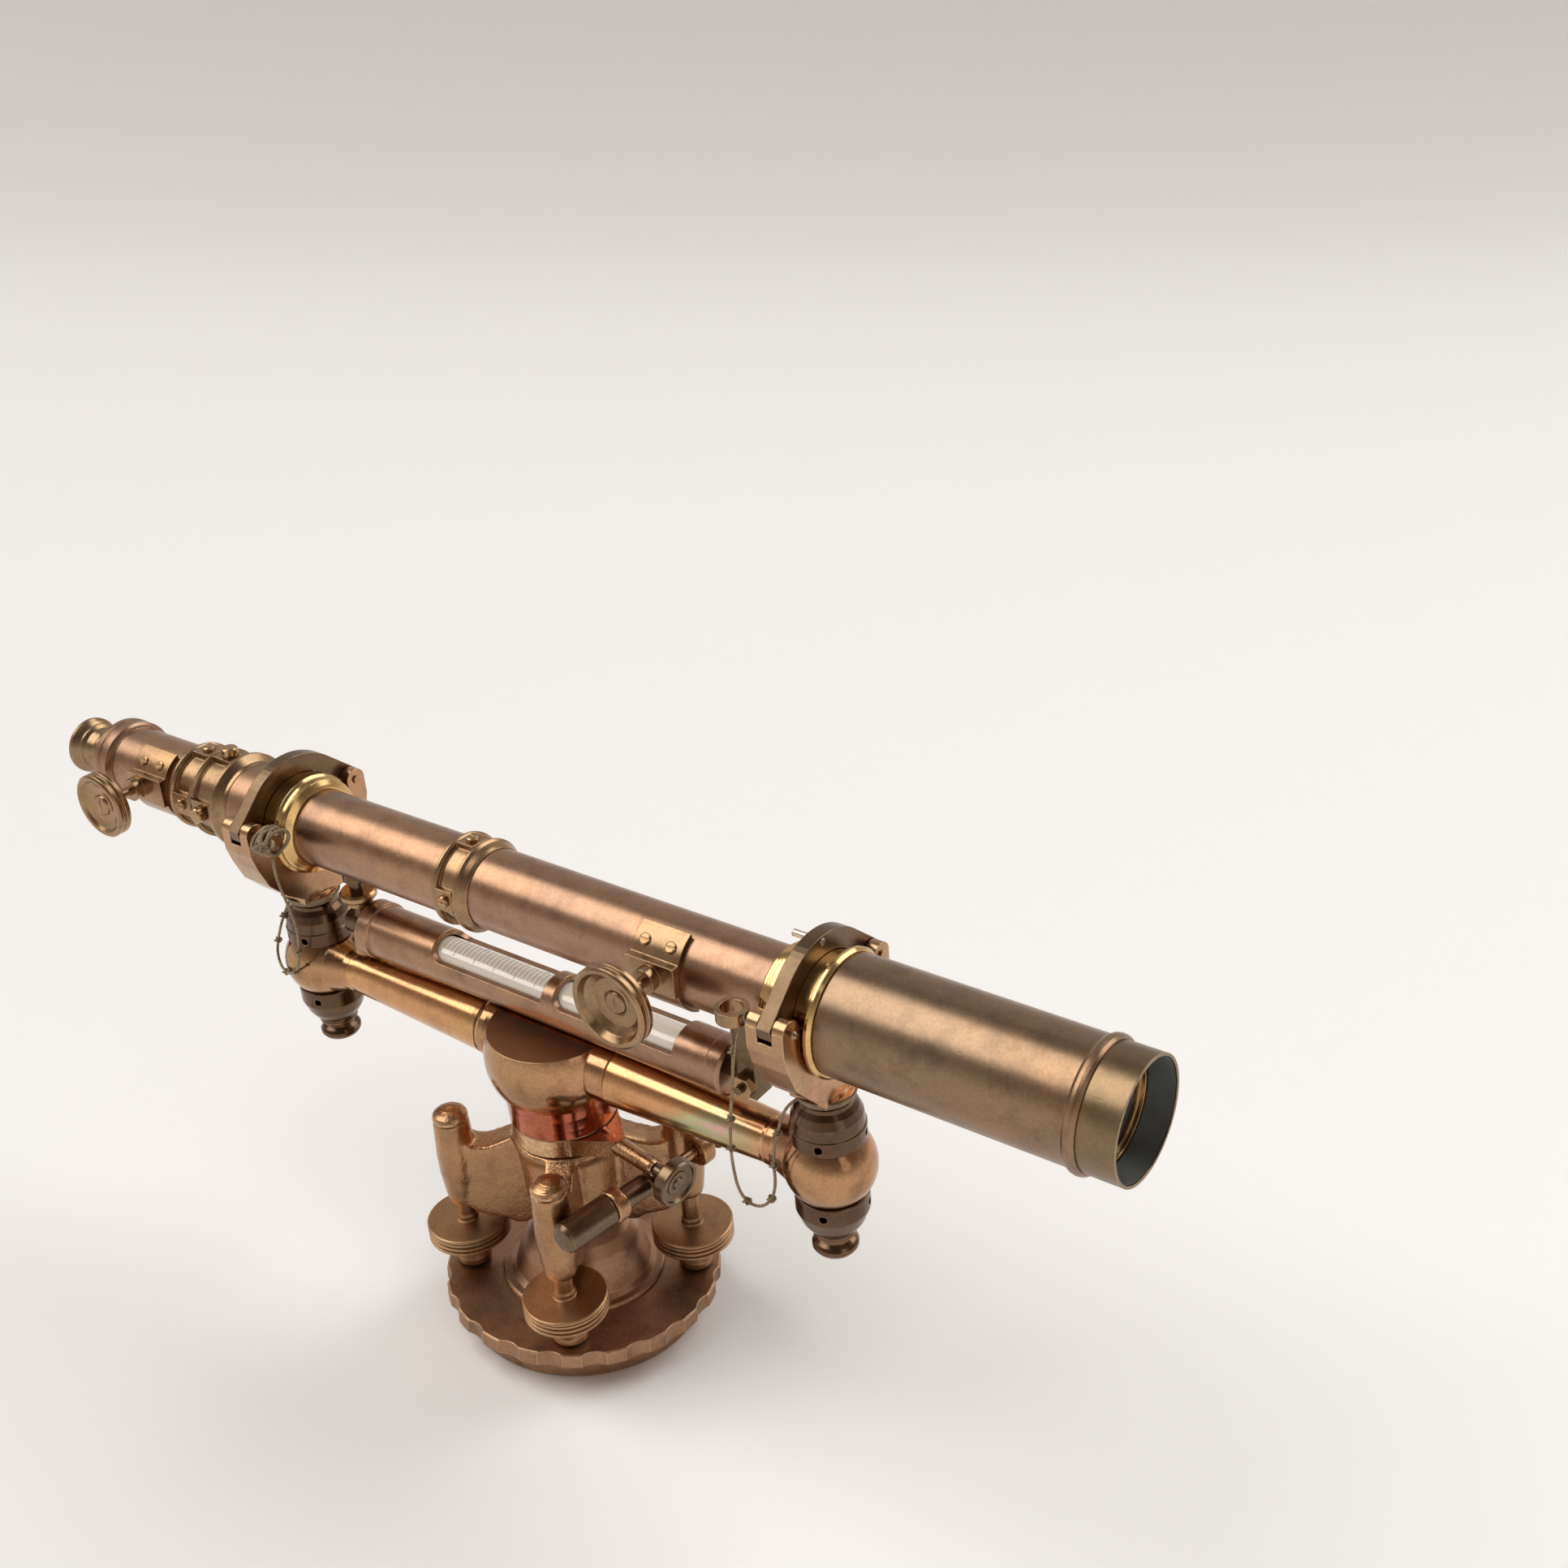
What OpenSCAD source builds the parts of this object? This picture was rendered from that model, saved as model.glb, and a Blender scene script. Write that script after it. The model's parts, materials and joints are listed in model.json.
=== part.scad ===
// Wye level: a four-screw levelling head, a turning bar with two wyes, and a
// telescope that lies in the wyes with its spirit level below it.
// Row frame: origin on the tripod thread's axis at the foot plate's underside,
// +X towards the objective, +Z up. Everything above the ball leans with it.

/* [Levelling head] */
// Radius of the scalloped flange of the foot plate
foot_r = 56; // [54:0.5:58]
// Height of the foot plate
foot_h = 18; // [17:0.5:19]
// Number of scallops around the flange
scallops = 20; // [16:1:24]
// Distance of the levelling screws from the centre
screw_ring_r = 45.5; // [45:0.5:47]
// Azimuth of the first arm from the telescope's direction
arm_az = 34; // [30:1:40]
// Radius of a levelling screw's head
head_r = 16.6; // [15:0.2:17.5]
// How far the instrument leans sideways about X, in degrees
lean_roll = 3.8; // [0:0.2:5]
// How far the objective end is raised, in degrees
lean_pitch = 1.8; // [0:0.2:4]

/* [Bar and wyes] */
// Height of the bar's axis
bar_z = 124.7; // [124:0.1:126]
// Distance of each wye post from the spindle
post_x = 129; // [128:0.5:130]
// Width of a wye along the telescope
wye_w = 15; // [14:0.5:16]

/* [Telescope] */
// Height of the telescope's axis
scope_z = 191; // [190.5:0.1:191.5]
// Outer radius of the main tube
tube_r = 15.6; // [15:0.1:16]
// Outer radius of the objective barrel
barrel_r = 21.5; // [21:0.1:21.8]
// Radius of the bearing collars that lie in the wyes
collar_r = 20; // [19.8:0.1:20.2]
// Height of the spirit level's axis
vial_z = 150; // [149.5:0.1:150.5]
// Radius of the level's brass tube
vial_r = 10.8; // [10.4:0.1:11]

/* [Hidden] */
$fn = 72;

run = 0.05;                      // radial clearance of a running fit
gap = 0.3;                       // clearance between bodies that only pass
ball_z = 28;                     // centre of the levelling ball
ball_r = 19;
socket_r = 33;                   // flange of the ball socket
post_bore_r = 3.75;
rod_r = post_bore_r - run;
screw_tip_z = 22.4;              // centre of a screw's ball tip above the foot
tip_r = 3.2;
hub_top = 87;                    // top of the spider's hub
tangent_az = arm_az - 43;        // the tangent screw spans two arms
clamp_az = arm_az - 39;          // azimuth of the clamp's arm
tangent_d = 45.1;                  // distance of the tangent screw's axis
tangent_z = 81.4;
lug_y = 6.5;                     // the clamp's lug, along the tangent screw
clamp_arm_z = 92.8;
clamp_arm_dip = 6;
sleeve_r = 17;
stub_front_x = 34;
stub_rear_x = -31.5;
bar_big_r = 12;
bar_end_x = post_x - 15.5;
stem_r = 8;
pin_y = -26.5;                   // clip pin, from the telescope's axis
pin_dz = 7;
hinge_y = 26.5;
hinge_dz = 7;
clip_w = 5.4;
clip_out_r = 27.6;
vial_half = 88;
hanger_rear_x = -100;
hanger_front_x = 97;
focus_x = 71;
focus_dz = 2;
eye_x = -207.5;
eye_dz = 2;
slide_r = 12.6;                  // objective slide inside the main tube
eye_slide_r = 10.4;
gear_r = 4.5;                    // pinions of the two knobs
pad_roll = -3;                   // turn of the screw pads about the telescope
wire_r = 0.65;                   // half the thickness of a cord
wire_sides = 8;

// The instrument above the ball, leaning with the ball
module lean()
    translate([0, 0, ball_z])
        rotate([lean_roll, -lean_pitch, 0])
            translate([0, 0, -ball_z])
                children();

// Telescope frame: X along the telescope, origin on its axis
module scope() lean() translate([0, 0, scope_z]) children();

// A turned piece about Z, from its half outline [radius, height]
module turned(outline) rotate_extrude() polygon(outline);

// A turned piece about X, from its half outline [radius, station]
module turned_x(outline) rotate([0, 90, 0]) turned(outline);

// A ring about X between two stations
module ring_x(r_out, r_in, x0, x1)
    turned_x([[r_in, x0], [r_out, x0], [r_out, x1], [r_in, x1]]);

// A ring about Z between two heights
module ring_z(r_out, r_in, z0, z1)
    turned([[r_in, z0], [r_out, z0], [r_out, z1], [r_in, z1]]);

// The tangent screw's frame: X away from the spindle, Y along the screw
module tangent_frame() lean() rotate([0, 0, tangent_az]) children();

// A turned piece about the tangent screw's axis
module turned_tangent(outline)
    tangent_frame() translate([tangent_d, 0, tangent_z])
        rotate([-90, 0, 0]) turned(outline);

// A slotted cheese-head screw standing on z = 0
module slotted_head(r, h)
    difference() {
        turned([[0, 0], [r, 0], [r, h * 0.7], [r * 0.8, h], [0, h]]);
        translate([-r, -0.3, h * 0.55]) cube([2 * r, 0.6, h]);
    }

// ---- Foot ----

module foot_plate()
    color("sienna") difference() {
        turned([[0, 0], [47.6, 0], [48.5, 0.9], [48.5, 9], [foot_r - 3, 11],
            [foot_r, 12], [foot_r, foot_h - 0.6], [foot_r - 0.6, foot_h],
            [0, foot_h]]);
        for (k = [0 : scallops - 1])
            rotate([0, 0, 360 * (k + 0.5) / scallops])
                translate([foot_r + 6.6, 0, 8])
                    cylinder(r = 8.4, h = foot_h);
        translate([0, 0, -1]) cylinder(r = 44.45, h = 12);
    }

module ball_socket()
    color("sienna") difference() {
        turned([[0, foot_h], [socket_r, foot_h], [socket_r, foot_h + 0.8],
            [socket_r - 0.7, foot_h + 1.5], [29.5, foot_h + 1.7], [27.4, 21.4],
            [26.3, 25], [24.8, 30], [22.6, 35], [19.4, 39.5], [16, 42.8],
            [15.2, 43.4], [0, 43.4]]);
        translate([0, 0, ball_z]) sphere(r = ball_r + gap);
        translate([0, 0, ball_z]) cylinder(r = 14, h = 30);
    }

module leveling_ball()
    color("goldenrod") lean() intersection() {
        translate([0, 0, ball_z]) sphere(r = ball_r);
        translate([0, 0, 21]) cylinder(r = ball_r, h = 40);
    }

// ---- Spider ----

// One web, drawn as distance from the spindle and height
module web()
    rotate([90, 0, 0]) linear_extrude(height = 12, center = true)
        polygon([[8, 86], [21, 86], [27, 83.5], [33, 81.5], [37.5, 82],
            [41, 84], [45, 84], [45, 54], [41, 50.5], [37, 47.6], [32, 46.2],
            [27.6, 45.4], [24, 43], [20, 43.5], [14, 48], [8, 48]]);

module post()
    turned([[0, 52], [5.4, 52], [6.3, 54], [7, 60], [7.7, 68], [7.9, 76],
        [7.5, 86], [7.1, 93], [0, 93]]);

module spider()
    color("peru") lean() difference() {
        union() {
            hub_shape();
            for (k = [0 : 3]) rotate([0, 0, arm_az + 90 * k]) {
                web();
                translate([screw_ring_r, 0, 0]) post();
            }
        }
        translate([0, 0, ball_z]) sphere(r = ball_r + gap);
        translate([0, 0, 54]) cylinder(r = 12, h = 40);
        for (k = [0 : 3]) rotate([0, 0, arm_az + 90 * k])
            translate([screw_ring_r, 0, 50])
                cylinder(r = post_bore_r, h = 41.5);
    }

module post_caps()
    color("peru") lean()
        for (k = [0 : 3]) rotate([0, 0, arm_az + 90 * k])
            translate([screw_ring_r, 0, 93])
                turned([[0, 0], [6.8, 0], [7.1, 0.4], [7.1, 1.4], [6.4, 2.7],
                    [4.8, 3.8], [2.6, 4.4], [0, 4.6]]);

module spindle_bush()
    color("darkgoldenrod") lean() difference() {
        ring_z(12, 8.5, 54, 105);
        translate([0, 0, 106]) cylinder(r = 20, h = 10);
    }

// ---- Clamp and tangent screw ----

module tangent_brackets()
    color("peru") tangent_frame() {
        for (side = [-1, 1]) difference() {
            union() {
                translate([tangent_d, side * bracket_y(side), tangent_z])
                    rotate([90, 0, 0])
                        cylinder(r = 6.8, h = 6, center = true);
                hull() {
                    translate([tangent_d - 3, side * bracket_y(side),
                        tangent_z - 4]) sphere(r = 2.9, $fn = 24);
                    translate([34, side * bracket_y(side), 67])
                        sphere(r = 3.6, $fn = 24);
                }
                hull() {
                    translate([34, side * bracket_y(side), 67])
                        sphere(r = 3.6, $fn = 24);
                    translate([17, side * 12, 58]) sphere(r = 4, $fn = 24);
                }
            }
            translate([tangent_d, side * bracket_y(side), tangent_z])
                rotate([90, 0, 0])
                    cylinder(r = side < 0 ? 4.4 : 2 + run, h = 9,
                        center = true);
            rotate([0, 0, arm_az - tangent_az - 45 + 45 * side]) {
                web();
                translate([screw_ring_r, 0, 0]) post();
            }
            rotate([0, 0, -tangent_az]) hub_shape();
        }
    }

// Distance of a bracket from the middle of the tangent screw
function bracket_y(side) = side < 0 ? 14.4 : 29.5;

module hub_shape()
    turned([[0, 45.5], [11.6, 45.5], [12.4, 49], [16, 54], [19, 60],
        [19.5, 70], [20, 80], [21.5, 85], [21.5, hub_top - 0.5],
        [21, hub_top], [0, hub_top]]);

module spring_barrel()
    color("dimgray")
        turned_tangent([[0, -41.2], [3, -41], [5, -40.2], [6, -38.9],
            [6.1, -37.6], [6.1, -18], [5.6, -17.4], [4.4, -17.4], [4.4, 0.9],
            [4, 1.4], [2.05, 1.4], [2.05, -1], [3.2, -1], [3.2, -36],
            [0, -36]]);

module tangent_spring()
    color("gray") tangent_frame() translate([tangent_d, -35.4, tangent_z])
        rotate([-90, 0, 0]) swept(spring_route, 0.42);

module spring_plunger()
    color("silver")
        turned_tangent([[0, -9.4], [3.1, -9.4], [3.1, -4], [2, -4],
            [2, lug_y - 3.6], [1.2, lug_y - 2.9], [0, lug_y - 2.9]]);

module tangent_screw()
    color("goldenrod")
        turned_tangent([[0, lug_y + 2.9], [1.2, lug_y + 2.9],
            [2, lug_y + 3.6], [2, 36], [4.2, 36.8], [4.6, 37.4], [4.6, 46],
            [4, 46.8], [0, 47.2]]);

// Turns a piece about X away from the spindle along the clamp's arm
module along_arm()
    lean() rotate([0, 0, clamp_az]) translate([18, 0, clamp_arm_z])
        rotate([0, 90 + clamp_arm_dip, 0]) children();

module clamp_collar()
    color("peru") difference() {
        union() {
            lean() turned([[10, hub_top + gap], [20.2, hub_top + gap],
                [21, hub_top + 1], [21, 95.4], [20.6, 96], [10, 96]]);
            lean() rotate([0, 0, clamp_az])
                translate([0, 0, hub_top + 1.2])
                    linear_extrude(height = 7.4) hull() {
                        circle(r = 20);
                        translate([29, 0]) circle(r = 3.4);
                    }
            along_arm() turned([[0, 0], [4, 0], [3.8, 6], [3.4, 30],
                [3, 31.4], [0, 31.4]]);
            tangent_frame() translate([tangent_d, lug_y, tangent_z]) {
                rotate([90, 0, 0]) cylinder(r = 5, h = 5.2, center = true);
                translate([-4, -2.6, 0]) cube([6.4, 5.2, 7]);
            }
        }
        lean() translate([0, 0, hub_top - 1])
            cylinder(r = sleeve_r + run, h = 12);
        lean() translate([0, 0, 96]) cylinder(r = 22, h = 6);
        along_arm() translate([0, 0, 6]) cylinder(r = 1.6 + run, h = 40);
    }

module clamp_screw()
    color("olive") along_arm()
        turned([[0, 8], [1.6, 8], [1.6, 31.8], [2.6, 32.2], [2.6, 35.4],
            [3.6, 38.4], [8.6, 38.6], [9.4, 39.4], [9.4, 43.6], [9, 44.4],
            [8, 44.4], [7.4, 43], [5, 42.4], [4.6, 43.2], [3, 43.2],
            [2.6, 42.6], [2, 43.8], [0, 44.2]]);

// ---- Levelling screws ----

// Where screw k meets the upper frame
function screw_xy(k) = screw_ring_r
    * [cos(arm_az + 90 * k), sin(arm_az + 90 * k)];

// Height in the leaning frame of a point that is world_z above the ground
function leaning_z(xy, world_z) = ball_z
    + (world_z - ball_z - sin(lean_pitch) * xy.x
        - cos(lean_pitch) * sin(lean_roll) * xy.y)
    / (cos(lean_pitch) * cos(lean_roll));

module screw_place(k)
    lean() translate([screw_xy(k).x, screw_xy(k).y,
        leaning_z(screw_xy(k), screw_tip_z)]) children();

module leveling_screw(k)
    color("darkgoldenrod") screw_place(k) {
        sphere(r = tip_r);
        turned([[0, 0], [2.6, 0], [2.6, 6], [8.5, 6.6], [9, 8.6], [13.4, 9.3],
            [15.6, 9.9], [head_r, 10.9], [head_r, 11.7], [15.6, 12.1],
            [15.6, 12.6], [head_r, 13], [head_r, 13.8], [15.6, 14.2],
            [15.6, 14.7], [head_r, 15.1], [head_r, 15.9], [15.8, 16.3],
            [head_r, 16.6], [head_r, 17.4], [head_r - 0.5, 17.8], [4.6, 17.8],
            [4.2, 18.4], [4.2, 19.8], [rod_r, 20.6], [rod_r, 60],
            [0, 60]]);
    }

module screw_shoe(k)
    color("saddlebrown") difference() {
        screw_place(k) rotate([0, lean_pitch, 0]) rotate([-lean_roll, 0, 0])
            turned([[0, foot_h + gap - screw_tip_z],
                [3, foot_h + gap - screw_tip_z], [6.4, -3.6], [7, -2.8],
                [7, -0.4], [5.4, 1.6], [0, 1.6]]);
        screw_place(k) {
            sphere(r = tip_r + run);
            cylinder(r = tip_r + run, h = 6);
        }
    }

module leveling_screw_1() leveling_screw(0);
module leveling_screw_2() leveling_screw(1);
module leveling_screw_3() leveling_screw(2);
module leveling_screw_4() leveling_screw(3);
module screw_shoe_1() screw_shoe(0);
module screw_shoe_2() screw_shoe(1);
module screw_shoe_3() screw_shoe(2);
module screw_shoe_4() screw_shoe(3);

// ---- Bar ----

module bar_hub()
    color("goldenrod") lean() difference() {
        union() {
            intersection() {
                translate([0, 0, bar_z]) sphere(r = 27.4);
                translate([0, 0, 112.8]) cylinder(r = 40, h = 23.2);
            }
            translate([0, 0, bar_z]) {
                turned_x([[0, 0], [bar_big_r, 0],
                    [bar_big_r, stub_front_x - 0.6],
                    [bar_big_r - 0.6, stub_front_x], [0, stub_front_x]]);
                turned_x([[0, stub_rear_x], [bar_big_r, stub_rear_x],
                    [12.8, -29.5], [12.8, -27], [12, -24], [12, 0], [0, 0]]);
            }
        }
        translate([0, 0, 100]) cylinder(r = 8.5, h = 31);
    }

module spindle()
    color("goldenrod") lean()
        turned([[0, 57], [7.6, 57], [8.45, 58], [8.45, 108], [8.5, 108],
            [8.5, 131], [0, 131]]);

module spindle_sleeve()
    color("indianred") lean()
        turned([[14, hub_top + 0.8], [sleeve_r, hub_top + 0.8],
            [sleeve_r, 96.3], [21.2, 96.3], [21.3, 100], [21.7, 105],
            [22.5, 109.5], [23.6, 112.8], [14, 112.8]]);

// A tapered tube from the hub's stub to a bar end
module bar_tube(side, x0)
    color("goldenrod") scale([side, 1, 1])
        turned_x([[8, x0], [bar_big_r - 0.6, x0],
            [bar_big_r + 0.3, x0 + 0.6], [bar_big_r + 0.1, x0 + 3],
            [9.4, bar_end_x - 9], [9.7, bar_end_x - 7.5],
            [9.7, bar_end_x - 7], [7, bar_end_x - 7]]);

module bar_tubes()
    lean() translate([0, 0, bar_z]) {
        bar_tube(1, stub_front_x);
        bar_tube(-1, -stub_rear_x);
    }

module bar_ends()
    color("goldenrod") lean() translate([0, 0, bar_z])
        for (side = [-1, 1]) difference() {
            union() {
                translate([side * post_x, 0, 0]) sphere(r = 17);
                scale([side, 1, 1])
                    turned_x([[0, bar_end_x - 7], [9.7, bar_end_x - 7],
                        [10, bar_end_x - 4], [11.4, bar_end_x + 0.5],
                        [12.6, bar_end_x + 4], [0, bar_end_x + 4]]);
            }
            translate([side * post_x, 0, -20])
                cylinder(r = stem_r + run, h = 40);
            translate([side * post_x, 0, 11.5]) cylinder(r = 20, h = 10);
            translate([side * post_x, 0, -21.5]) cylinder(r = 20, h = 10);
        }

// ---- Wyes ----

// The wye's outline seen along the telescope, origin on its axis
module wye_outline()
    difference() {
        polygon([[-31, 8], [-31, -1], [-29, -8], [-25.5, -17], [-18, -25.5],
            [-10.5, -31], [-10.5, -34], [10.5, -34], [10.5, -31],
            [18, -25.5], [25.5, -17], [29, -8], [31, -1], [31, 8],
            [22.2, 8], [22.2, -3], [-22.2, -3], [-22.2, 8]]);
        circle(r = collar_r + run);
        for (side = [-1, 1]) translate([side * 21, -3]) circle(r = 1.2);
    }

// One wye about x = 0: yoke, four lugs and the threaded stem
module wye()
    translate([0, 0, scope_z]) difference() {
        union() {
            rotate([90, 0, 90])
                linear_extrude(height = wye_w, center = true) wye_outline();
            for (side = [-1, 1]) translate([0, side * hinge_y, hinge_dz])
                rotate([0, 90, 0]) cylinder(r = 4.5, h = wye_w, center = true);
            translate([0, 0, -97]) cylinder(r = stem_r, h = 64);
            translate([0, 0, -37]) cylinder(r1 = 8.6, r2 = 10.4, h = 3.2);
        }
        translate([-3, -34, 2.8]) cube([6, 12, 20]);
        translate([-3, 20.5, 0.8]) cube([6, 13, 20]);
        translate([0, 0, hinge_dz]) rotate([0, 90, 0]) {
            translate([0, pin_y, -20]) cylinder(r = 1.5 + run, h = 40);
            translate([0, hinge_y, -20]) cylinder(r = 1.5 + run, h = 40);
        }
    }

module wye_front() color("darkkhaki") lean() translate([post_x, 0, 0]) wye();
module wye_rear() color("darkkhaki") lean() translate([-post_x, 0, 0]) wye();

module both_posts()
    lean() for (side = [-1, 1]) translate([side * post_x, 0, 0]) children();

module finials()
    color("darkgoldenrod") both_posts()
        turned([[0, 85.6], [5, 85.7], [7.6, 86.4], [8.5, 87.8], [8.5, 89.2],
            [7.6, 90.4], [6.2, 91.6], [6, 94], [0, 94]]);

// Four tommy-bar holes around a capstan nut
module tommy_holes(z)
    for (k = [0 : 3]) rotate([0, 0, 20 + 90 * k]) translate([9.5, 0, z])
        rotate([0, 90, 0]) cylinder(r = 1.5, h = 8);

module upper_nuts()
    color("dimgray") both_posts() difference() {
        turned([[stem_r + run, 136.3], [13.4, 136.3], [13.7, 136.8],
            [13.7, 142.2], [13.2, 142.8], [13.2, 143.4], [12.8, 147],
            [11.4, 150], [9.8, 152], [9.6, 153.4], [stem_r + run, 153.4]]);
        tommy_holes(139.6);
    }

module lower_nuts()
    color("dimgray") both_posts() difference() {
        turned([[stem_r + run, 113.1], [13.2, 113.1], [13.5, 112.6],
            [13.5, 106], [13, 104.6], [11.5, 100.6], [9.6, 97.6], [8, 96],
            [7.6, 94.2], [stem_r + run, 94.2]]);
        tommy_holes(109);
    }

module hinge_pins()
    color("goldenrod") lean() for (side = [-1, 1])
        translate([side * post_x, hinge_y, scope_z + hinge_dz])
            rotate([0, 90, 0])
                cylinder(r = 1.5, h = wye_w + 1.6, center = true);

// A clip's outline seen along the telescope: a crescent over the collar with
// straight flanks, the hinge eye and the tongue's fork
module clip_outline()
    difference() {
        union() {
            hull() {
                intersection() {
                    circle(r = clip_out_r);
                    translate([-40, 8]) square([80, 40]);
                }
                translate([-31.4, 8]) square([63.2, 0.6]);
            }
            translate([hinge_y, hinge_dz]) circle(r = 3.9);
            polygon([[-31.4, 8.2], [-30.6, 4.4], [-24, 3.6], [-19.6, 4.2],
                [-18, 10]]);
        }
        circle(r = collar_r + gap);
        translate([-15, -1]) square([34, 12]);
        translate([hinge_y, hinge_dz]) circle(r = 1.5 + run);
        translate([pin_y, pin_dz]) circle(r = 1.5 + gap);
        translate([pin_y - 1.5 - gap, -8]) square([3 + 2 * gap, 15]);
    }

module clip(x)
    scope() translate([x, 0, 0]) rotate([90, 0, 90])
        linear_extrude(height = clip_w, center = true) clip_outline();

module clip_front()
    color("darkolivegreen") difference() {
        clip(post_x);
        scope() translate([post_x - 4, 0, 25.6]) rotate([0, 90, 0])
            cylinder(r = 1.2, h = 8);
    }

module clip_rear() color("darkolivegreen") clip(-post_x);

module stop_pin()
    color("beige") scope() translate([post_x - 9, 0, 25.6])
        rotate([0, 90, 0])
            turned([[0, 0], [1.3, 0.3], [1.3, 6], [1.2, 6.2], [1.2, 12],
                [0, 12]]);

module clip_pin_front()
    color("darkkhaki") scope() translate([post_x, pin_y, pin_dz]) {
        rotate([0, 90, 0]) turned([[0, -11], [1.5, -11], [1.5, 9],
            [0.8, 10], [0, 10]]);
        translate([-16, 0, 0]) ring_z(5.8, 4, -2.4, 2.4);
    }

module clip_pin_rear()
    color("darkkhaki") scope() translate([-post_x, pin_y, pin_dz])
        rotate([0, 90, 0]) turned([[0, -10], [0.8, -10], [1.5, -9],
            [1.5, 9.5], [2.4, 10], [2.4, 13], [4, 13.6], [4.2, 15],
            [4, 18.4], [3.2, 19.4], [0, 19.6]]);

// ---- Cords ----

// Route of each cord, in the leaning frame
front_route = [[113.3, -28, 193.9], [113.4, -28.1, 187.7],
    [112.9, -28.1, 181.5], [112.2, -28, 175.4], [111.2, -27.8, 169.2],
    [110.2, -27.5, 163.1], [109, -27.2, 157], [107.9, -26.8, 150.9],
    [106.9, -26.3, 144.8], [106.2, -25.8, 138.6], [105.7, -25.2, 132.5],
    [105.5, -24.4, 126.3], [105.5, -23.4, 120.2], [106, -22, 115],
    [107.6, -20.4, 111], [110.4, -18.4, 109.2], [113.2, -16.6, 110.8],
    [114.8, -15.4, 114.6], [115.5, -14.9, 119.4], [115.6, -14.9, 124.6],
    [115.8, -15.1, 130.1], [116.7, -15.1, 136.2], [118.1, -14.5, 142.3],
    [119.4, -13.5, 148.2], [121.2, -11.4, 153.2], [124.5, -7.6, 156]];
rear_route = [[-110.2, -29.2, 192.4], [-108.6, -30.6, 188],
    [-107.4, -31, 182.8], [-106.8, -30.4, 177.2], [-106.9, -29.2, 171.4],
    [-107.6, -27.8, 165.7], [-109, -26.2, 160.1], [-110.9, -24.9, 154.5],
    [-112.8, -24.1, 149], [-114.9, -23.3, 143.6], [-117.4, -22.5, 138.4],
    [-120.5, -21.6, 133.5], [-124.3, -20.4, 129.2], [-129.1, -18.9, 126],
    [-134.5, -17.3, 124.2], [-140, -15.4, 124.6], [-143.1, -13.5, 128.9],
    [-142.6, -12.2, 134.5], [-140.8, -11.4, 140.1], [-138.4, -10.7, 145.5],
    [-136.1, -9.4, 150.8], [-134.6, -6.9, 156]];

// The spring's wire, eight turns up its axis, as short as the plunger
// ever pushes it
spring_route = [for (i = [0 : 80])
    [2.4 * cos(36 * i), 2.4 * sin(36 * i), 23 * i / 80]];

function unit(v) = v / norm(v);
function route_dir(r, i) = unit(r[min(i + 1, len(r) - 1)] - r[max(i - 1, 0)]);
function across(t) = unit(cross(t, abs(t.x) < 0.9 ? [1, 0, 0] : [0, 1, 0]));

// A tube of radius r swept along a route
module swept(route, r) {
    points = [for (i = [0 : len(route) - 1], k = [0 : wire_sides - 1])
        let (t = route_dir(route, i), a = across(t), b = cross(t, a))
        route[i] + r * (cos(360 * k / wire_sides) * a
            + sin(360 * k / wire_sides) * b)];
    last = (len(route) - 1) * wire_sides;
    faces = concat(
        [[for (k = [0 : wire_sides - 1]) k]],
        [for (i = [0 : len(route) - 2], k = [0 : wire_sides - 1])
            let (a = i * wire_sides, k2 = (k + 1) % wire_sides)
            [a + k, a + wire_sides + k, a + wire_sides + k2, a + k2]],
        [[for (k = [wire_sides - 1 : -1 : 0]) last + k]]);
    polyhedron(points = points, faces = faces, convexity = 6);
}

module cord_front() color("tan") lean() swept(front_route, wire_r);
module cord_rear() color("tan") lean() swept(rear_route, wire_r);

// ---- Telescope ----

// Clears a pinion out of the near side of a tube
module pinion_slot(x, dz)
    translate([x - gear_r - 1, -18, dz - gear_r - 2])
        cube([2 * gear_r + 2, 10, 2 * gear_r + 3]);

// A strip for the rack on the near side of a slide, under its pinion
module rack(x0, x1, y0, y1, dz)
    translate([x0, y0, dz - gear_r - 1.3]) cube([x1 - x0, y1 - y0, 1.2]);

module main_tube()
    color("rosybrown") scope() difference() {
        union() {
            ring_x(tube_r, 13.8, -157, -34.5);
            ring_x(tube_r, 13.8, -22.5, 139);
            ring_x(16.9, 15.4, -155.5, -140);
        }
        pinion_slot(focus_x, focus_dz);
    }

module front_collar()
    color("gold") scope()
        turned_x([[tube_r, 116], [17.6, 116], [18.4, 116.8], [18.4, 118],
            [19.4, 118.6], [19.4, 119.6], [collar_r, 120], [collar_r, 137.2],
            [21.4, 137.2], [22.9, 138.2], [22.9, 139.4], [22, 140.6],
            [tube_r, 140.6]]);

module rear_collar()
    color("gold") scope()
        turned_x([[tube_r, -140], [18, -140], [18.6, -139], [18.6, -138],
            [collar_r, -137.4], [collar_r, -120.4], [20.4, -120],
            [20.6, -119], [19.6, -118], [19.4, -117], [19.8, -116.2],
            [19.2, -114.8], [17.4, -113.6], [16.4, -113], [tube_r, -113]]);

// Four square pads around X with their screw seats
module pads(r, x0, x1, half)
    for (k = [0 : 3]) rotate([90 * k + pad_roll, 0, 0])
        translate([x0, -half, r - 4]) cube([x1 - x0, 2 * half, 4]);

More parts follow.
